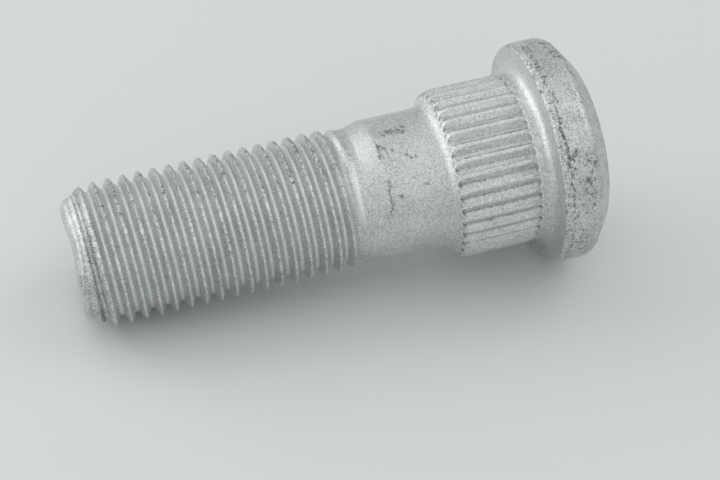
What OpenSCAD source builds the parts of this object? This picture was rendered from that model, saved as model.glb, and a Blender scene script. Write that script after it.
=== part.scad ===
// Wheel stud, M12 x 1.25, pressed into the hub from behind.
// Forged, turned and rolled from one bar. It stands on its head: the flat end of the head
// is at z = 0, and the thread points up.

/* [Head] */
// Diameter of the round head
head_diameter = 18.9; // [17:0.1:22]
// Thickness of the head, from its flat end to the seat
head_thickness = 4.6; // [4:0.1:7]
// Height of the bevel at the back of the head
bevel_height = 1.6; // [0.6:0.1:2.4]
// Angle of that bevel from the axis
bevel_angle = 54; // [40:1:65]
// Radius of the rounding where the bevel meets the head's side
back_round = 1; // [0.3:0.1:1.4]
// Radius of the rounding at the seat's rim
rim_round = 0.35; // [0.1:0.05:0.5]

/* [Neck] */
// Diameter of the plain neck between the seat and the serrations
neck_diameter = 14.14; // [13.4:0.02:14.3]
// Radius of the fillet where the neck meets the seat
seat_fillet = 1.1; // [0.4:0.1:1.2]
// Length of the plain neck, the fillet included
neck_length = 1.2; // [1.2:0.1:2]

/* [Serrations] */
// Number of rolled grooves round the shank
groove_count = 36; // [24:1:40]
// Diameter over the crests between the grooves
crest_diameter = 14.34; // [14.3:0.02:14.8]
// Length of the grooves, their round ends included
groove_length = 6.6; // [4:0.1:10]
// Depth of a groove below the crests
groove_depth = 0.4; // [0.25:0.01:0.5]
// Width of a groove at the crests
groove_width = 1.02; // [0.6:0.02:1.04]
// Length over which the crests rise from the neck
neck_rise = 0.6; // [0.55:0.05:1]
// Length over which the crests fall to the shoulder's corner
shoulder_fall = 0.85; // [0.55:0.05:1.5]

/* [Shoulder] */
// Diameter at the top corner of the shoulder
shoulder_diameter = 13.8; // [13.2:0.1:14.1]
// Height of the sloping shoulder below the plain shank
shoulder_height = 0.45; // [0.3:0.01:1.5]
// Radius of the hollow where the shoulder meets the shank
shoulder_fillet = 0.75; // [0.1:0.05:0.8]

/* [Shank] */
// Diameter of the plain shank
shank_diameter = 11.9; // [11.8:0.02:12.6]
// Length of the plain shank, from the shoulder to the cone
shank_length = 5.35; // [2.4:0.05:12]
// Length of the short cone down to the thread's blank
cone_length = 1.4; // [0.6:0.1:3]

/* [Thread] */
// Diameter over the thread's crests
thread_diameter = 11.84; // [11.4:0.02:11.98]
// Distance from one crest to the next
pitch = 1.25; // [1:0.25:1.5]
// Depth of the thread from crest to root
thread_depth = 0.75; // [0.5:0.01:0.8]
// Width of the flat on a crest
crest_flat = 0.16; // [0.05:0.01:0.2]
// Diameter of the bar that the thread is rolled on
blank_diameter = 11.2; // [11.1:0.02:11.3]
// Length of the threaded end, from the cone to the tip
thread_length = 23.9; // [12:0.1:40]
// Length over which the thread runs out towards the cone
run_out = 2.3; // [1:0.1:4]
// Axial distance from the tip to a crest on the +X side
first_crest = 2.95; // [2:0.05:4]

/* [Tip] */
// Diameter of the flat end of the tip
tip_diameter = 8.3; // [7:0.1:10]
// Diameter of the rolled lip just behind the flat end
lip_diameter = 9.6; // [8:0.1:10.4]
// Distance from the flat end to the lip
lip_height = 0.36; // [0.2:0.02:0.6]
// Angle of the taper behind the lip, from the axis
tip_angle = 32; // [25:1:60]

/* [Hidden] */
$fn = 96;
over = 1;                  // how far a cutting shape reaches past what it cuts
step_in = 0.02;            // a rolled part's end is this much inside the turned part's
bed = 0.3;                 // how deep the serrated part is seated in its neighbours
clear = 0.1;               // least height between two rows of the thread's points
sides = 32;                // flats round the thread
forms = 4;                 // rows of points in one turn of the thread
crest_run = 0.75;          // share of the run-out over which the crests reach full height
fall_break = 0.4;          // where the crests' fall to the shoulder steepens, as a share
fall_drop = 0.4;           // how much of that fall is done by then, as a share

// heights along the axis, from the head's flat end
seat_z = head_thickness;
groove_z = seat_z + neck_length;
corner_z = groove_z + groove_length;
shank_z = corner_z + shoulder_height;
cone_z = shank_z + shank_length;
thread_z = cone_z + cone_length;
tip_z = thread_z + thread_length;

head_r = head_diameter / 2;
neck_r = neck_diameter / 2;
serration_r = crest_diameter / 2;
shoulder_r = shoulder_diameter / 2;
shank_r = shank_diameter / 2;
blank_r = blank_diameter / 2;
crest_r = thread_diameter / 2;
root_r = crest_r - thread_depth;
tip_r = tip_diameter / 2;
lip_r = lip_diameter / 2;
lip_z = tip_z - lip_height;
bevel_r = head_r - bevel_height * tan(bevel_angle);

// The thread's form over one pitch: a root flat, a 30 degree flank, the crest's flat
// and the other flank. FORM holds where each of the four begins.
flank = thread_depth * tan(30);
root_flat = pitch - crest_flat - 2 * flank;
FORM = [0, root_flat, root_flat + flank, root_flat + flank + crest_flat];
form_to_crest = root_flat + flank + crest_flat / 2;

// The threaded solid's foot is inside the cone. Its lowest turn is plain, and in step
// with the first crest.
foot_z = thread_z - pitch - clear;
turns_down = floor((tip_z - first_crest - form_to_crest - foot_z - clear / 2) / pitch);
form_z = tip_z - first_crest - form_to_crest - turns_down * pitch;
plain_z = form_z + pitch + clear;
// the last row of the form that is still clear of the lip
rows = floor((lip_z - clear - form_z - pitch) / pitch * forms);

function row_z(row, side) =
    form_z + floor(row / forms) * pitch + FORM[row % forms] + pitch * side / sides;

function fade(z, length) = max(0, min(1, (z - plain_z) / length));

function taper_r(z) = lip_r + (lip_z - z) * tan(tip_angle);

function form_r(row, z) =
    (row % forms) < 2
        ? blank_r - step_in - (blank_r - step_in - root_r) * fade(z, run_out)
        : blank_r - step_in + (crest_r - blank_r + step_in) * fade(z, run_out * crest_run);

function thread_r(row, z) = min(taper_r(z), form_r(row, z));

function polar(radius, angle, z) = [radius * cos(angle), radius * sin(angle), z];

// Each side of the thread is one column of points: the foot, one point at each step of
// the form, the lip and the tip. A column is PER points long.
PER = rows + 4;
LIP = PER - 2;
THREAD_POINTS = [
    for (side = [0 : sides - 1])
        let (angle = 360 * side / sides)
            each concat(
                [polar(blank_r - step_in, angle, foot_z)],
                [for (row = [0 : rows])
                    polar(thread_r(row, row_z(row, side)), angle, row_z(row, side))],
                [polar(lip_r, angle, lip_z), polar(tip_r, angle, tip_z)]
            )
];

function at(side, k) = side * PER + k;

// Two columns of the same turn face each other point by point.
STRIPS = [
    for (side = [0 : sides - 2], k = [0 : PER - 2]) each [
        [at(side, k), at(side, k + 1), at(side + 1, k)],
        [at(side, k + 1), at(side + 1, k + 1), at(side + 1, k)]
    ]
];

// Where the last side meets the first, the form has climbed by one pitch, which is one
// point for each of its rows. Two fans fill the difference, at the foot and at the lip.
last = sides - 1;
SEAM = concat(
    [for (k = [0 : forms]) [at(last, 0), at(0, k + 1), at(0, k)]],
    [[at(last, 0), at(last, 1), at(0, forms + 1)]],
    [for (k = [1 : LIP - forms - 1]) each [
        [at(last, k), at(last, k + 1), at(0, k + forms)],
        [at(last, k + 1), at(0, k + forms + 1), at(0, k + forms)]
    ]],
    [for (k = [LIP - forms : LIP - 1]) [at(last, k), at(last, k + 1), at(0, LIP)]],
    [[at(last, LIP), at(last, PER - 1), at(0, LIP)],
     [at(last, PER - 1), at(0, PER - 1), at(0, LIP)]]
);

CAPS = [
    [for (side = [0 : last]) at(side, 0)],
    [for (side = [0 : last]) at(last - side, PER - 1)]
];

// The rolled grooves. Each is a V trough along the axis with a half round end at either
// side, and ACROSS holds the places of its columns as shares of half its width.
ACROSS = [-1, -0.5, 0, 0.5, 1];
half_w = groove_width / 2;
slope = groove_depth / half_w;
groove_step = 360 / groove_count;
half_angle = asin(half_w / serration_r);
// where the trough's end cuts the neck's own surface
first_cut = max(0.05, half_w - (neck_r - serration_r + groove_depth) / slope);

GROOVE_ROWS = [
    groove_z, groove_z + first_cut, groove_z + (first_cut + half_w) / 2,
    groove_z + half_w, groove_z + neck_rise,
    corner_z - shoulder_fall, corner_z - half_w, corner_z - (first_cut + half_w) / 2,
    corner_z - first_cut, corner_z
];

// radius of the crests between the grooves
function crest_line(z) = lookup(z, [
    [groove_z, neck_r - step_in],
    [groove_z + neck_rise, serration_r],
    [corner_z - shoulder_fall, serration_r],
    [corner_z - shoulder_fall * (1 - fall_break),
        serration_r - (serration_r - shoulder_r) * fall_drop],
    [corner_z, shoulder_r - step_in]
]);

function trough_r(share, z) =
    serration_r - groove_depth + slope * norm([
        share * half_w,
        max(0, half_w - min(z - groove_z, corner_z - z))
    ]);

// one column of points: a foot inside the neck, the rows, and a head inside the shoulder
function groove_column(angle, share) = concat(
    [polar(neck_r - step_in, angle, groove_z - bed)],
    [for (z = GROOVE_ROWS) polar(min(crest_line(z), trough_r(share, z)), angle, z)],
    [polar(shank_r, angle, corner_z + bed)]
);

GROOVE_POINTS = [
    for (i = [0 : groove_count - 1], share = ACROSS)
        each groove_column(i * groove_step + share * half_angle, share)
];

TALL = len(GROOVE_ROWS) + 2;
COLUMNS = groove_count * len(ACROSS);

GROOVE_SIDES = [
    for (c = [0 : COLUMNS - 1], k = [0 : TALL - 2])
        let (a = c * TALL + k, b = ((c + 1) % COLUMNS) * TALL + k)
            each [[a, a + 1, b], [a + 1, b + 1, b]]
];

GROOVE_CAPS = [
    [for (c = [0 : COLUMNS - 1]) c * TALL],
    [for (c = [0 : COLUMNS - 1]) (COLUMNS - c) * TALL - 1]
];

// Half section of everything from the head's end to the cone, as it is turned.
module body_section() {
    difference() {
        polygon([
            [0, 0],
            [bevel_r, 0],
            [head_r, bevel_height],
            [head_r, seat_z],
            [0, seat_z]
        ]);
        // rounding where the bevel meets the side
        back_run = back_round * tan(bevel_angle / 2);
        difference() {
            polygon([
                [head_r - back_run * sin(bevel_angle),
                    bevel_height - back_run * cos(bevel_angle)],
                [head_r + over, bevel_height - back_run * cos(bevel_angle)],
                [head_r + over, bevel_height + back_run],
                [head_r, bevel_height + back_run]
            ]);
            translate([head_r - back_round, bevel_height + back_run])
                circle(r = back_round);
        }
        // small rounding at the seat's rim
        translate([head_r - rim_round, seat_z - rim_round])
            difference() {
                square([rim_round + over, rim_round + over]);
                circle(r = rim_round);
            }
    }
    // neck with the fillet on the seat
    translate([0, seat_z - over])
        square([neck_r, neck_length + over]);
    difference() {
        translate([neck_r - over, seat_z - rim_round])
            square([seat_fillet + over, seat_fillet + rim_round]);
        translate([neck_r + seat_fillet, seat_z + seat_fillet]) circle(r = seat_fillet);
    }
    // shoulder, shank and cone, on a core that runs down through the serrated part
    polygon([
        [0, groove_z - over],
        [serration_r - groove_depth - bed, groove_z - over],
        [serration_r - groove_depth - bed, corner_z],
        [shoulder_r, corner_z],
        [shank_r, shank_z],
        [shank_r, cone_z],
        [blank_r, thread_z],
        [0, thread_z]
    ]);
    // hollow where the shoulder meets the shank
    fall = atan2(shoulder_height, shoulder_r - shank_r);
    run = shoulder_fillet * tan((90 - fall) / 2);
    difference() {
        polygon([
            [shank_r - bed, shank_z + run],
            [shank_r, shank_z + run],
            [shank_r + run * cos(fall), shank_z - run * sin(fall)],
            [shank_r - bed, shank_z - run * sin(fall)]
        ]);
        translate([shank_r + shoulder_fillet, shank_z + run]) circle(r = shoulder_fillet);
    }
}

module serrations() {
    polyhedron(points = GROOVE_POINTS, faces = concat(GROOVE_SIDES, GROOVE_CAPS));
}

module threaded_end() {
    polyhedron(points = THREAD_POINTS, faces = concat(STRIPS, SEAM, CAPS));
}

module wheel_stud() {
    color([0.72, 0.74, 0.74]) {
        rotate_extrude() body_section();
        serrations();
        threaded_end();
    }
}

wheel_stud();
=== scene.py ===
import math

import bpy
from mathutils import Matrix, Vector


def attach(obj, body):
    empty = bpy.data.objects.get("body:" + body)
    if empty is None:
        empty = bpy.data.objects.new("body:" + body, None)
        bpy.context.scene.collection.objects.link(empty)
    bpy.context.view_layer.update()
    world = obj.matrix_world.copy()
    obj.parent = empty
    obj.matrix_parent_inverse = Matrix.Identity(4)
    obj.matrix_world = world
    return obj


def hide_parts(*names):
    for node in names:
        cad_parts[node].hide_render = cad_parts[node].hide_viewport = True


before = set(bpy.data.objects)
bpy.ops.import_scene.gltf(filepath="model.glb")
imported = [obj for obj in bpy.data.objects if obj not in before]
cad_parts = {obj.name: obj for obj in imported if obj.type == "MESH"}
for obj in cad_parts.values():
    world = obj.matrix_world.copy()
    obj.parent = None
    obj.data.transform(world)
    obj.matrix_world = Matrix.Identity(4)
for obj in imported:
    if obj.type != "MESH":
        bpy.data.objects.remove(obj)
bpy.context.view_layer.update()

# Camera
# It looks across the stud, a little from the tip's side, with the tip at the lower left.
# The stud lies on its side in this view, so the camera is rolled over.
CAMERA_PLACE = (0.0, -0.14542, 0.04623)
CAMERA_RIGHT = Vector((-0.22865, -0.17763, -0.95717)).normalized()
CAMERA_UP = Vector((0.97318, -0.01606, -0.22950)).normalized()
camera_back = CAMERA_RIGHT.cross(CAMERA_UP).normalized()
camera = bpy.data.objects.new("camera", bpy.data.cameras.new("camera"))
camera.data.lens = 89.05
camera.data.sensor_width = 36
camera.data.clip_start = 0.01
camera.data.clip_end = 10
turn = Matrix((CAMERA_RIGHT, CAMERA_UP, camera_back)).transposed().to_4x4()
camera.matrix_world = Matrix.Translation(CAMERA_PLACE) @ turn
bpy.context.scene.collection.objects.link(camera)
bpy.context.scene.camera = camera
bpy.context.scene.view_settings.view_transform = "Standard"

# Floor
# A pale plain board that the stud lies on, touched by the head's rim and the last crest
# of the thread. It is only there from above, so that the far side can be looked at too.
FLOOR_UP = Vector((0.72865, -0.67829, -0.09480)).normalized()
FLOOR_BELOW = 0.00982
FLOOR_REACH = 1.2
FLOOR_COLOUR = (0.675, 0.70, 0.70, 1)
floor_side = FLOOR_UP.cross(Vector((0, 0, 1))).normalized()
floor_front = FLOOR_UP.cross(floor_side).normalized()
corners = [
    -FLOOR_UP * FLOOR_BELOW + floor_side * FLOOR_REACH * a + floor_front * FLOOR_REACH * b
    for a, b in ((-1, -1), (1, -1), (1, 1), (-1, 1))
]
floor_mesh = bpy.data.meshes.new("floor")
floor_mesh.from_pydata(corners, [], [(0, 1, 2, 3)])
if floor_mesh.polygons[0].normal.dot(FLOOR_UP) < 0:
    floor_mesh.flip_normals()
floor = bpy.data.objects.new("floor", floor_mesh)
bpy.context.scene.collection.objects.link(floor)


class Flow:
    """A value on its way through a node tree. Its operators add Math nodes, so that a form
    or a finish is written as a plain sum."""

    def __init__(self, tree, socket=None):
        self.tree = tree
        self.socket = socket

    def node(self, kind, settings=None, values=None, out=0):
        made = self.tree.nodes.new(kind)
        for name, setting in (settings or {}).items():
            setattr(made, name, setting)
        for key, value in (values or {}).items():
            if isinstance(value, Flow):
                self.tree.links.new(value.socket, made.inputs[key])
            else:
                made.inputs[key].default_value = value
        return Flow(self.tree, made.outputs[out])

    def math(self, operation, *terms):
        return self.node("ShaderNodeMath", {"operation": operation}, dict(enumerate(terms)))

    def __add__(self, other):
        return self.math("ADD", self, other)

    def __radd__(self, other):
        return self.math("ADD", other, self)

    def __sub__(self, other):
        return self.math("SUBTRACT", self, other)

    def __rsub__(self, other):
        return self.math("SUBTRACT", other, self)

    def __mul__(self, other):
        return self.math("MULTIPLY", self, other)

    def __rmul__(self, other):
        return self.math("MULTIPLY", other, self)

    def __truediv__(self, other):
        return self.math("DIVIDE", self, other)

    def __rtruediv__(self, other):
        return self.math("DIVIDE", other, self)

    def ease(self, low, high, to_low=0.0, to_high=1.0, kind="SMOOTHSTEP"):
        values = {0: self, 1: low, 2: high, 3: to_low, 4: to_high}
        return self.node("ShaderNodeMapRange", {"interpolation_type": kind}, values)

    def within(self, low, high, soft):
        return self.ease(low, low + soft) * self.ease(high - soft, high, 1.0, 0.0)


def new_finish(name):
    material = bpy.data.materials.new(name)
    material.use_nodes = True
    material.node_tree.nodes.clear()
    return material, Flow(material.node_tree)


board, paint = new_finish("pale_board")
board_face = paint.node(
    "ShaderNodeBsdfPrincipled", None, {"Base Color": FLOOR_COLOUR, "Roughness": 0.7}
)
clear = paint.node("ShaderNodeBsdfTransparent")
underside = paint.node("ShaderNodeNewGeometry", out="Backfacing")
both = paint.node("ShaderNodeMixShader", None, {0: underside, 1: board_face, 2: clear})
board_out = board.node_tree.nodes.new("ShaderNodeOutputMaterial")
board.node_tree.links.new(both.socket, board_out.inputs["Surface"])
floor_mesh.materials.append(board)

# Lamps
# A long low window on the tip's side, a low lamp and a high one beside it, a wide panel
# above, a soft lamp on the head's side, two weak ones in front, and a pale room.
LAMPS = (
    ("window", (0.70, 0.12, 0.70), 0.45, (0.42, 0.11), 0.50),
    ("low_left", (0.20, -0.12, 0.97), 0.45, (0.35, 0.20), 0.52),
    ("high_left", (0.90, -0.15, 0.35), 0.45, (0.30, 0.30), 0.20),
    ("panel", (0.73, -0.68, -0.09), 0.50, (0.60, 0.60), 0.25),
    ("right", (0.45, -0.50, -0.75), 0.50, (0.40, 0.40), 0.45),
    ("front", (0.15, -1.00, 0.15), 0.50, (0.40, 0.40), 0.15),
    ("front_low", (-0.22, -0.95, -0.10), 0.50, (0.40, 0.25), 0.14),
)
# the lamps face the middle of the stud, and their first side runs along LAMP_LEVEL
LAMP_AIM = Vector((0, 0, 0.022))
LAMP_LEVEL = Vector((0.25, 0.85, -0.40))
ROOM_COLOUR = (0.97, 1.0, 0.99, 1)
ROOM_STRENGTH = 0.55
for name, towards, distance, sides, power in LAMPS:
    lamp = bpy.data.objects.new(name, bpy.data.lights.new(name, "AREA"))
    lamp.data.shape = "RECTANGLE"
    lamp.data.size, lamp.data.size_y = sides
    lamp.data.energy = power
    lamp_back = Vector(towards).normalized()
    lamp_side = LAMP_LEVEL.cross(lamp_back).cross(lamp_back).normalized()
    lamp_top = lamp_back.cross(lamp_side)
    facing = Matrix((lamp_side, lamp_top, lamp_back)).transposed().to_4x4()
    lamp.matrix_world = Matrix.Translation(lamp_back * distance + LAMP_AIM) @ facing
    bpy.context.scene.collection.objects.link(lamp)
room = bpy.data.worlds.new("room")
room.use_nodes = True
room_light = room.node_tree.nodes["Background"].inputs
room_light["Color"].default_value = ROOM_COLOUR
room_light["Strength"].default_value = ROOM_STRENGTH
bpy.context.scene.world = room

# Stud
# One piece of steel, cold headed, turned, with the grooves and the thread rolled in, and
# dipped in a zinc flake coat. All lengths are in millimetres, on the stud's own axis.
MM = 0.001
TO_MM = 1000
HEAD_R = 9.45
HEAD_HIGH = 4.6
BEVEL_HIGH = 1.6
BEVEL_ANGLE = math.radians(54)
BACK_ROUND = 1.0
END_ROUND = 0.5
RIM_ROUND = 0.35
RIM_REACH = 1.05
NECK_R = 7.07
SEAT_FILLET = 1.1
NECK_HIGH = 5.76
SERRATION_R = 7.17
SHOULDER_LOW = 12.4
SHOULDER_R = 6.9
SHANK_R = 5.95
SHANK_LOW = 12.85
SHOULDER_FILLET = 1.1
CONE_LOW = 18.2
THREAD_LOW = 19.6
BLANK_R = 5.6
CREST_R = 5.92
PITCH = 1.25
RUN_OUT = 2.3
FIRST_CREST = 2.95
TIP_HIGH = 43.5
LIP_LOW = 42.9
TIP_R = 4.15
ROUND_COLUMNS = 144
GROOVE_COUNT = 36
GROOVE_LOW = 5.68
GROOVE_HIGH = 12.58
GROOVE_END = 0.4
# between these heights the rows of the grooved part stand further apart
FAR_ROWS_LOW = 6.58
FAR_ROWS_HIGH = 11.2
# where the columns stand over one groove's pitch, as shares of half the pitch
GROOVE_SPREAD = (0, 0.1, 0.4, 0.7, 0.8, 0.88, 1, 1.12, 1.2, 1.3, 1.6, 1.9)
# where the rows lie over one turn of the thread, from a crest's middle
THREAD_SPREAD = (0, 0.04, 0.08, 0.12, 0.2, 0.32, 0.44, 0.5, 0.56, 0.625)
# turns of the thread that reach from below its start to past the tip
THREAD_TURNS = range(-22, 4)

points = []
faces = []


def even(count):
    return [math.tau * i / count for i in range(count)]


def ring(radius, height, angles):
    first = len(points)
    for angle in angles:
        points.append((radius * math.cos(angle) * MM, radius * math.sin(angle) * MM, height * MM))
    return list(range(first, len(points)))


def band(low, high):
    for i in range(len(low)):
        j = (i + 1) % len(low)
        faces.append((low[i], low[j], high[j], high[i]))


def zip_band(low, low_angles, high, high_angles):
    i = j = 0
    while i < len(low) or j < len(high):
        next_low = low_angles[i + 1] if i + 1 < len(low) else math.tau + low_angles[0]
        next_high = high_angles[j + 1] if j + 1 < len(high) else math.tau + high_angles[0]
        a = low[i % len(low)]
        b = high[j % len(high)]
        if j >= len(high) or (i < len(low) and next_low <= next_high):
            faces.append((a, low[(i + 1) % len(low)], b))
            i += 1
        else:
            faces.append((a, high[(j + 1) % len(high)], b))
            j += 1


def arc(centre_r, centre_z, radius, start, end, steps):
    angles = [math.radians(start + (end - start) * i / steps) for i in range(steps + 1)]
    return [(centre_r + radius * math.cos(a), centre_z + radius * math.sin(a)) for a in angles]


def line(start, end, steps):
    return [
        (start[0] + (end[0] - start[0]) * i / steps, start[1] + (end[1] - start[1]) * i / steps)
        for i in range(steps + 1)
    ]


def read_off(stations, x):
    for (x0, y0), (x1, y1) in zip(stations, stations[1:]):
        if x <= x1:
            return y0 + (y1 - y0) * max(0, x - x0) / (x1 - x0)
    return stations[-1][1]


plain = even(ROUND_COLUMNS)

# The head, from the middle of its flat end to the neck
points.append((0, 0, 0))
slope = math.degrees(BEVEL_ANGLE)
end_run = END_ROUND * math.tan((math.pi / 2 - BEVEL_ANGLE) / 2)
end_r = HEAD_R - BEVEL_HIGH * math.tan(BEVEL_ANGLE) - end_run
back_high = BEVEL_HIGH + BACK_ROUND * math.tan(BEVEL_ANGLE / 2)
end_edge = arc(end_r, END_ROUND, END_ROUND, -90, -slope, 5)
back_edge = arc(HEAD_R - BACK_ROUND, back_high, BACK_ROUND, -slope, 0, 10)
head_outline = line((0.7, 0), (end_r - 0.3, 0), 7) + end_edge
head_outline += line(end_edge[-1], back_edge[0], 10)[1:-1] + back_edge
head_outline += line((HEAD_R, back_high + 0.1), (HEAD_R, HEAD_HIGH - RIM_REACH - 0.08), 8)
head_outline += [
    (HEAD_R - RIM_ROUND * (1 - math.cos(a)), HEAD_HIGH - RIM_REACH * (1 - math.sin(a)))
    for a in (math.radians(7.5 * i) for i in range(13))
]
seat_out = HEAD_R - RIM_ROUND
fillet_out = NECK_R + SEAT_FILLET
head_outline += line((seat_out - 0.06, HEAD_HIGH), (fillet_out + 0.05, HEAD_HIGH), 6)
head_outline += arc(fillet_out, HEAD_HIGH + SEAT_FILLET, SEAT_FILLET, 270, 180, 14)
rings = [ring(r, z, plain) for r, z in head_outline]
for i in range(ROUND_COLUMNS):
    faces.append((0, rings[0][(i + 1) % ROUND_COLUMNS], rings[0][i]))
for low, high in zip(rings, rings[1:]):
    band(low, high)

# The grooved part, with columns close together at the edges of each groove
half_pitch = math.pi / GROOVE_COUNT
close = [half_pitch * (2 * g + share) for g in range(GROOVE_COUNT) for share in GROOVE_SPREAD]
# height and radius of the crests between the grooves
CREST_LINE = (
    (5.8, NECK_R), (6.05, 7.1), (6.4, SERRATION_R), (11.55, SERRATION_R), (11.8, 7.13),
    (12.06, 7.06), (12.25, 6.98), (SHOULDER_LOW, 6.88)
)
far_run = FAR_ROWS_HIGH - FAR_ROWS_LOW
high_run = SHOULDER_LOW - FAR_ROWS_HIGH
heights = [NECK_HIGH + 0.055 * i for i in range(17)]
heights += [FAR_ROWS_LOW + far_run * (i + 1) / 14 for i in range(14)]
heights += [FAR_ROWS_HIGH + high_run * (i + 1) / 22 for i in range(22)]
groove_rings = [ring(read_off(CREST_LINE, z), z, close) for z in heights]
zip_band(rings[-1], plain, groove_rings[0], close)
for low, high in zip(groove_rings, groove_rings[1:]):
    band(low, high)

# The shoulder, the plain shank and the cone
fall = math.degrees(math.atan2(SHANK_LOW - SHOULDER_LOW, SHOULDER_R - SHANK_R))
fillet_run = SHOULDER_FILLET * math.tan(math.radians(90 - fall) / 2)
shoulder_hollow = arc(
    SHANK_R + SHOULDER_FILLET, SHANK_LOW + fillet_run, SHOULDER_FILLET, 270 - fall, 180, 8
)
shank_outline = line(
    (6.82, 12.45), (shoulder_hollow[0][0] + 0.05, shoulder_hollow[0][1] - 0.024), 6
)
shank_outline += shoulder_hollow
shank_outline += line((SHANK_R, SHANK_LOW + fillet_run + 0.25), (SHANK_R, CONE_LOW - 0.25), 16)
shank_outline += arc(SHANK_R - 2, CONE_LOW - 0.24, 2, 0, 14, 6)[1:]
shank_outline += line((5.872, 18.52), (BLANK_R + 0.03, THREAD_LOW - 0.14), 6)
shank_outline += [(BLANK_R + 0.01, THREAD_LOW - 0.05), (BLANK_R, THREAD_LOW)]
rings = [ring(r, z, plain) for r, z in shank_outline]
zip_band(groove_rings[-1], close, rings[0], plain)
for low, high in zip(rings, rings[1:]):
    band(low, high)

# The threaded end, with rows that climb with the thread
# distance from the tip's end, and radius there
LIP_LINE = (
    (0, TIP_R), (0.06, 4.36), (0.16, 4.6), (0.3, 4.82), (0.46, 4.95), (0.62, 5.0), (0.76, 5.02),
    (0.9, 5.1), (1.4, 5.45), (2.1, CREST_R)
)
# height and radius where the thread begins and where it is full
RUN_LINE = ((THREAD_LOW + 0.5, BLANK_R), (THREAD_LOW + RUN_OUT, CREST_R))


def threaded_blank_r(height):
    return min(read_off(RUN_LINE, height), read_off(LIP_LINE, TIP_HIGH - height))


lip_heights = [LIP_LOW, 42.98, 43.06, 43.14, 43.2, 43.26, 43.32, 43.37, 43.41, 43.45, 43.48]
lip_heights += [TIP_HIGH]
lip_rings = [ring(threaded_blank_r(z), z, plain) for z in lip_heights]
down = [-w for w in THREAD_SPREAD[-2:0:-1]]
turn_rows = down + list(THREAD_SPREAD)
columns = []
for j, angle in enumerate(plain):
    column = [(-math.inf, rings[-1][j])]
    for whole in THREAD_TURNS:
        for k, offset in enumerate(turn_rows):
            height = TIP_HIGH - FIRST_CREST + PITCH * (whole + angle / math.tau) + offset
            if THREAD_LOW + 0.03 < height < LIP_LOW - 0.03:
                radius = threaded_blank_r(height)
                column.append((whole * len(turn_rows) + k, ring(radius, height, [angle])[0]))
    column.append((math.inf, lip_rings[0][j]))
    columns.append(column)
for j, left in enumerate(columns):
    right = columns[(j + 1) % ROUND_COLUMNS]
    if j == ROUND_COLUMNS - 1:
        right = [(row - len(turn_rows), point) for row, point in right]
    i = k = 0
    while i < len(left) - 1 or k < len(right) - 1:
        up_left = left[i + 1] if i < len(left) - 1 else None
        up_right = right[k + 1] if k < len(right) - 1 else None
        if up_left and up_right and up_left[0] == up_right[0]:
            faces.append((left[i][1], right[k][1], up_right[1], up_left[1]))
            i += 1
            k += 1
        elif up_right is None or (up_left and up_left[0] < up_right[0]):
            faces.append((left[i][1], right[k][1], up_left[1]))
            i += 1
        else:
            faces.append((left[i][1], right[k][1], up_right[1]))
            k += 1

# The tip's end
end_rings = lip_rings + [ring(r, TIP_HIGH, plain) for r in (4.05, 3.9, 3.6, 3, 2, 1)]
for low, high in zip(end_rings, end_rings[1:]):
    band(low, high)
points.append((0, 0, TIP_HIGH * MM))
for i in range(ROUND_COLUMNS):
    faces.append((end_rings[-1][i], end_rings[-1][(i + 1) % ROUND_COLUMNS], len(points) - 1))

stud_mesh = bpy.data.meshes.new("stud_blank")
stud_mesh.from_pydata(points, [], faces)
stud_mesh.validate()
stud_mesh.polygons.foreach_set("use_smooth", [True] * len(stud_mesh.polygons))
stud = bpy.data.objects.new("stud", stud_mesh)
bpy.context.scene.collection.objects.link(stud)

# The zinc flake coat: pale grey with a fine grain. It is worn at the head's rim and on the
# crests, speckled on the head's side, and scuffed in places on the shank.
# Painted highlights and painted shade lie on it too: on the thread's roots and crests, the cone,
# the shoulder, the run-out, the lip, the grooves and the head's bevel.
ZINC = (0.60, 0.63, 0.62, 1)
ZINC_LIGHT = (0.88, 0.90, 0.89, 1)
ZINC_DARK = (0.12, 0.125, 0.13, 1)
# where the coat is speckled: angles round the axis, heights, and how densely
SCUFFED = (
    (38, 54, 15.0, 17.6, 2.0), (18, 42, 17.3, 18.2, 2.2), (23, 34, 16.5, 17.5, 1.6),
    (14, 26, 14.9, 16.3, 2.0), (-13, -4, 16.9, 17.5, 3.0), (-10, 0, 14.4, 15.2, 1.9),
    # the last entry on the next row, a dark line along the step behind the head's rim, is painted
    # shade
    (-1, 6, 14.6, 16.6, 1.7), (-28, 8, 17.8, 18.3, 2.2), (-30, 70, 3.65, 4.0, 1.9),
    (-16, 12, 3.2, 4.0, 1.2), (-30, -4, 1.8, 3.1, 1.4), (44, 70, 1.3, 2.4, 1.6),
    (-80, -24, 1.6, 4.0, 0.9), (8, 40, 1.5, 2.2, 1.1), (60, 85, 2.2, 3.4, 0.9),
)
# where painted highlights lighten it, in the same way
PAINTED_HIGHLIGHTS = (
    (-28, 30, 12.4, 13.05, 0.12), (2, 76, 17.9, 19.8, 0.3), (-90, 90, 5.9, 12.3, 0.03),
    (-34, 30, 20.1, 20.85, 0.75),
)
# degrees from one groove to the next, and how many half widths of a groove lie in them
GROOVE_STEP = 360 / GROOVE_COUNT
GROOVE_WIDTHS = 2.45
coat, spray = new_finish("zinc_flake_coat")
place = spray.node("ShaderNodeTexCoord", out="Object")
place = spray.node(
    "ShaderNodeVectorMath", {"operation": "SCALE"}, {0: place, "Scale": TO_MM}
)


def part_of(vector, axis):
    return vector.node("ShaderNodeSeparateXYZ", None, {0: vector}, out=axis)


def cloud(where, scale, detail=3.0, roughness=0.6):
    values = {"Vector": where, "Scale": scale, "Detail": detail, "Roughness": roughness}
    return where.node("ShaderNodeTexNoise", None, values, out=0)


def blend(amount, first, second):
    values = {0: amount, 6: first, 7: second}
    return amount.node("ShaderNodeMix", {"data_type": "RGBA"}, values, out=2)


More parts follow.
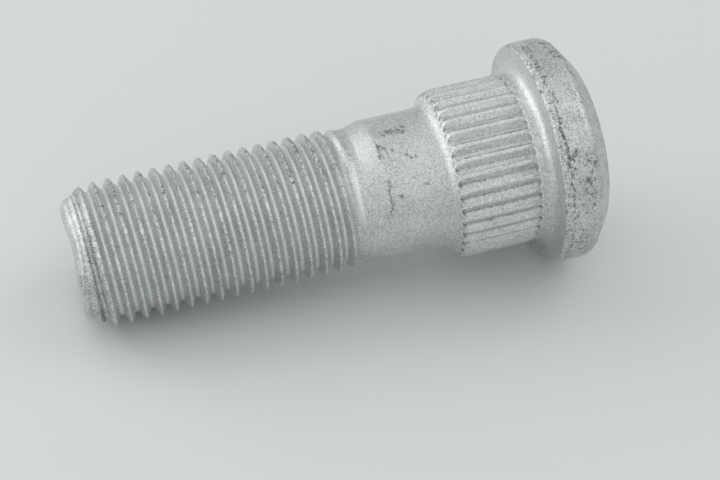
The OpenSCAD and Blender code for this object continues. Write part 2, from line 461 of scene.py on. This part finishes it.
east = part_of(place, 0)
north = part_of(place, 1)
height = part_of(place, 2)
radius = spray.math("SQRT", east * east + north * north)
round_angle = spray.math("ARCTAN2", east, north * -1) * (180 / math.pi)
grain = cloud(place, 8.5, 2.0, 0.7)
fleck = cloud(place, 3.2, 4.0, 0.8)
drift = cloud(place, 0.45, 3.0, 0.6)
patches = cloud(place, 0.9, 4.0, 0.65)

barrel = height.within(1.9, 4.1, 0.2) * radius.ease(9.2, 9.36)
rim = height.within(3.8, 4.65, 0.12) * radius.ease(9.06, 9.16)
bevel = height.within(-0.5, 1.9, 0.25) * radius.ease(6.9, 7.3)
thread = height.ease(19.4, 20.4)
crest = thread * radius.ease(5.72, 5.86)
lip = height.ease(41.2, 42.1)
serration = height.within(5.9, 12.6, 0.2) * radius.ease(6.98, 7.12)
rough = height.within(5.8, 12.6, 0.2)

root = thread * radius.ease(5.22, 5.34, 1.0, 0.0)
above = round_angle.within(10, 85, 15)
uneven = height + patches.ease(0.3, 0.7, -0.3, 0.3)
scuffed = barrel * 0.15 + rim * 1.0 + crest * (0.6 + above * 0.9) + serration * 0.3 + lip * 0.4
for low_angle, high_angle, low, high, amount in SCUFFED:
    spot = round_angle.within(low_angle, high_angle, 5) * uneven.within(low, high, 0.2)
    scuffed = scuffed + spot * amount
# painted light and shade: the thread's roots lighter as a painted highlight, the lip darker (less
# on its upper side) and the crests' upper side darker as painted shade, the thread a little darker;
# then the listed painted highlights
painted_light_and_shade = root * 0.5 - lip * (0.62 - above * 0.15) - thread * 0.08 - crest * above * 0.15
for low_angle, high_angle, low, high, amount in PAINTED_HIGHLIGHTS:
    spot = round_angle.within(low_angle, high_angle, 22) * height.within(low, high, 0.25)
    painted_light_and_shade = painted_light_and_shade + spot * amount
# each groove is darkened in its bottom and on one side, partly dirt and partly painted shade,
# weighted differently on the lower side; beside that lies a painted highlight on the upper side
below = round_angle.ease(-12, 8, 1.0, 0.0)
groove_turn = spray.math("FRACT", round_angle / GROOVE_STEP)
root_line = groove_turn.within(0.90, 1.0, 0.05) + groove_turn.within(-0.05, 0.08, 0.05)
side_line = groove_turn.within(0.57, 0.71, 0.06)
painted_groove_highlight = groove_turn.within(0.78, 0.91, 0.06) * rough * (1 - below)
dirt_and_painted_shade = (root_line * (0.5 + below * 0.5) + side_line * (1.2 - below * 0.9)) * rough
dirt_and_painted_shade = dirt_and_painted_shade * (fleck + 0.02).ease(0.34, 0.58, 0.15, 1.0)
# the groove's rim is made lighter, partly wear and partly a painted highlight on its end walls, and
# its rounded ends are darkened inside as painted shade
in_groove = spray.math("MINIMUM", height - GROOVE_LOW, GROOVE_HIGH - height)
near_end = (in_groove / GROOVE_END).ease(0.0, 1.0, 1.0, 0.0, kind="LINEAR")
from_middle = spray.math("ABSOLUTE", groove_turn - 0.5) * -GROOVE_WIDTHS + GROOVE_WIDTHS / 2
to_rim = spray.math("SQRT", from_middle * from_middle + near_end * near_end)
edge_line = to_rim.within(0.86, 1.20, 0.14) * in_groove.ease(-0.06, 0.02)
painted_end_shade = near_end.ease(0.0, 0.5) * to_rim.ease(0.75, 0.9, 1.0, 0.0)
specks = (fleck + scuffed * 0.11 + patches.ease(0.3, 0.7, -0.05, 0.05)).ease(0.66, 0.78)
# painted glints: lighter dashes on the crests, the head's rim, the grooves and the lip, fewer on
# the crests' upper side
glints = barrel * 0.2 + rim * 0.8 + crest * (0.8 - above * 0.6) + serration * 0.5 + lip * 0.3
flash = (0.5 - fleck + glints * 0.1).ease(0.08, 0.18) * glints
shade = grain.ease(0.3, 0.7, -0.44, 0.44) + drift.ease(0.3, 0.7, -0.08, 0.08)
shade = shade + fleck.ease(0.3, 0.7, 0.14, -0.14)
shade = shade + patches.ease(0.35, 0.65, 0.08, -0.08) * (1 + barrel * 1.2 + lip * 1.2 + bevel * 1.2)
shade = shade + painted_light_and_shade + edge_line * (0.35 + near_end * 0.3) + painted_groove_highlight * 0.3
# the head's bevel is darkened as painted shade, the rim and the barrel a little darker all round,
# and the grooves' ends as painted shade
shade = shade - bevel * 0.14 - rim * 0.2 - barrel * 0.12 - painted_end_shade * 0.5
light = spray.math("MAXIMUM", shade, 0.0) + flash * 0.7
dark = spray.math("MAXIMUM", shade * -1, 0.0) + specks * 0.6 + dirt_and_painted_shade * 0.6
colour = blend(spray.math("MINIMUM", light, 1.0), ZINC, ZINC_LIGHT)
colour = blend(spray.math("MINIMUM", dark, 1.0), colour, ZINC_DARK)
soft = height.within(12.3, 14.0, 0.3) + height.ease(42.0, 42.6) * 1.6
gloss = 0.43 + grain.ease(0.3, 0.7, -0.04, 0.04) + specks * 0.15 + rough * 0.05 + soft * 0.06
gloss = gloss - root * 0.06
relief = grain * (0.022 + rough * 0.016) + fleck * (
    0.009 + barrel * 0.02 + rim * 0.06 + crest * 0.05 + rough * 0.03 + lip * 0.04
)
bump = spray.node(
    "ShaderNodeBump", None, {"Strength": 1.0, "Distance": MM, "Height": relief}
)
coat_face = spray.node(
    "ShaderNodeBsdfPrincipled",
    None,
    {"Base Color": colour, "Metallic": 0.75, "Roughness": gloss, "Normal": bump},
)
coat_out = coat.node_tree.nodes.new("ShaderNodeOutputMaterial")
coat.node_tree.links.new(coat_face.socket, coat_out.inputs["Surface"])

# Rolling, as a node tree: the thread and the grooves are pressed into the blank, the rims
# are worn a little, and the tip's lip is left uneven.
rolling = bpy.data.node_groups.new("roll_thread_and_grooves", "GeometryNodeTree")
SIZES = (
    ("Pitch", PITCH), ("Crest Height", TIP_HIGH - FIRST_CREST), ("Crest Radius", CREST_R),
    ("Blank Radius", BLANK_R), ("Thread Depth", 0.75), ("Crest Flat", 0.16),
    ("Thread Start", THREAD_LOW), ("Run-out", RUN_OUT), ("Groove Count", GROOVE_COUNT),
    ("Groove Radius", SERRATION_R), ("Groove Depth", 0.32), ("Groove Share", 0.816),
    ("Groove Low", GROOVE_LOW), ("Groove High", GROOVE_HIGH), ("Groove End", GROOVE_END),
    ("End Sink", 0.2),
    ("Tip", TIP_HIGH), ("Lip Hollow", 0.3), ("Lip Fullness", 0.2),
    ("Wear", 0.05), ("Seed", 3.0),
)
# a radius past the whole stud, added where a tool doesn't touch the blank
CLEAR_R = 50
rolling.interface.new_socket("Blank", in_out="INPUT", socket_type="NodeSocketGeometry")
ids = {}
for name, value in SIZES:
    socket = rolling.interface.new_socket(name, in_out="INPUT", socket_type="NodeSocketFloat")
    ids[name] = socket.identifier
socket = rolling.interface.new_socket("Finish", in_out="INPUT", socket_type="NodeSocketMaterial")
ids["Finish"] = socket.identifier
rolling.interface.new_socket("Stud", in_out="OUTPUT", socket_type="NodeSocketGeometry")
press = Flow(rolling)
group_in = rolling.nodes.new("NodeGroupInput")
size = {name: Flow(rolling, group_in.outputs[name]) for name, value in SIZES}
spot = press.node("GeometryNodeInputPosition")
spot = press.node("ShaderNodeVectorMath", {"operation": "SCALE"}, {0: spot, "Scale": TO_MM})
east = part_of(spot, 0)
north = part_of(spot, 1)
height = part_of(spot, 2)
radius = press.math("SQRT", east * east + north * north)
turns = press.math("ARCTAN2", north, east) / math.tau

# thread: the distance along the axis from the nearest crest, and the form under it
phase = (height - size["Crest Height"]) / size["Pitch"] - turns
from_crest = press.math("PINGPONG", phase, 0.5) * size["Pitch"]
flank = (from_crest - size["Crest Flat"] * 0.5) / math.tan(math.radians(30))
form = press.math("SMOOTH_MAX", flank, 0.0, 0.06)
form = press.math("SMOOTH_MIN", form, size["Thread Depth"], 0.16)
run = height.ease(
    size["Thread Start"] + 0.5, size["Thread Start"] + size["Run-out"], kind="LINEAR"
)
top_line = size["Blank Radius"] + (size["Crest Radius"] - size["Blank Radius"]) * run
untouched = press.math("LESS_THAN", height, size["Thread Start"] - 0.001) * CLEAR_R
thread_r = top_line - form * run + untouched

# grooves: the distance from the nearest groove's middle, as a share of half the pitch
across = press.math("PINGPONG", turns * size["Groove Count"], 0.5) * 2
from_low = height - size["Groove Low"]
from_high = size["Groove High"] - height
inwards = press.math("MINIMUM", from_low, from_high)
from_end = 1 - (inwards / size["Groove End"]).ease(0.0, 1.0, kind="LINEAR")
sink = 1 + inwards.within(0.15, 1.5, 0.4) * size["End Sink"]
sideways = press.math("POWER", across / size["Groove Share"], 2.0)
slant = press.math("SQRT", from_end * from_end + sideways)
hollowed = (1 - slant) * (1 + slant * (0.3 + from_end * 1.4))
trough = press.math("SMOOTH_MAX", hollowed * size["Groove Depth"] * sink, 0.0, 0.03)
inside = press.math("GREATER_THAN", from_low, 0.0) * press.math("GREATER_THAN", from_high, 0.0)
groove_r = size["Groove Radius"] - trough + (1 - inside) * CLEAR_R

worn = press.math("SMOOTH_MIN", radius, thread_r, 0.05)
worn = press.math("MINIMUM", worn, groove_r)
new_radius = press.math("MINIMUM", radius, worn)

# wear: the crests and the head's rim lose a little, unevenly
nicks = press.node(
    "ShaderNodeTexNoise",
    {"noise_dimensions": "4D"},
    {"Vector": spot, "W": size["Seed"], "Scale": 1.3, "Detail": 3.0, "Roughness": 0.6},
)
nicks = nicks.ease(0.45, 0.75)
at_rim = height.within(3.8, 4.8, 0.3) * radius.ease(8.9, 9.2)
at_crest = height.ease(20.5, 21.5) * new_radius.ease(5.75, 5.9)
new_radius = new_radius - nicks * size["Wear"] * (at_rim * 1.6 + at_crest)

# lip: the rolling leaves the tip's end uneven, hollow across its middle and full on one side
lip_hollow = east.ease(-2.8, 0.4) * east.ease(0.9, 4.3, 1.0, 0.0)
full_side = press.math("COSINE", turns * math.tau) * -0.5 + 0.5
lip_reach = height.ease(size["Tip"] - 1.3, size["Tip"])
new_height = height - lip_hollow * size["Lip Hollow"] * lip_reach
lip_edge = height.ease(size["Tip"] - 0.75, size["Tip"]) * radius.ease(3.3, 4.1)
fullness = press.math("POWER", full_side, 2.0) * lip_edge * size["Lip Fullness"]
new_radius = new_radius + fullness

scale = new_radius / press.math("MAXIMUM", radius, 0.001) * MM
moved = press.node(
    "ShaderNodeCombineXYZ", None, {0: east * scale, 1: north * scale, 2: new_height * MM}
)
rolled = press.node(
    "GeometryNodeSetPosition",
    None,
    {"Geometry": Flow(rolling, group_in.outputs["Blank"]), "Position": moved},
)
rolled = press.node("GeometryNodeRealizeInstances", None, {"Geometry": rolled})
rolled = press.node(
    "GeometryNodeSetMaterial",
    None,
    {"Geometry": rolled, "Material": Flow(rolling, group_in.outputs["Finish"])},
)
group_out = rolling.nodes.new("NodeGroupOutput")
rolling.links.new(rolled.socket, group_out.inputs["Stud"])

pressing = stud.modifiers.new("rolling", "NODES")
pressing.node_group = rolling
for name, value in SIZES:
    pressing[ids[name]] = float(value)
pressing[ids["Finish"]] = coat
evaluated = stud.evaluated_get(bpy.context.evaluated_depsgraph_get())
finished = bpy.data.meshes.new_from_object(evaluated)
finished.name = "stud"
stud.modifiers.remove(pressing)
stud.data = finished
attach(stud, "root")
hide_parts("wheel_stud")

print("stud triangles", sum(len(p.vertices) - 2 for p in finished.polygons))
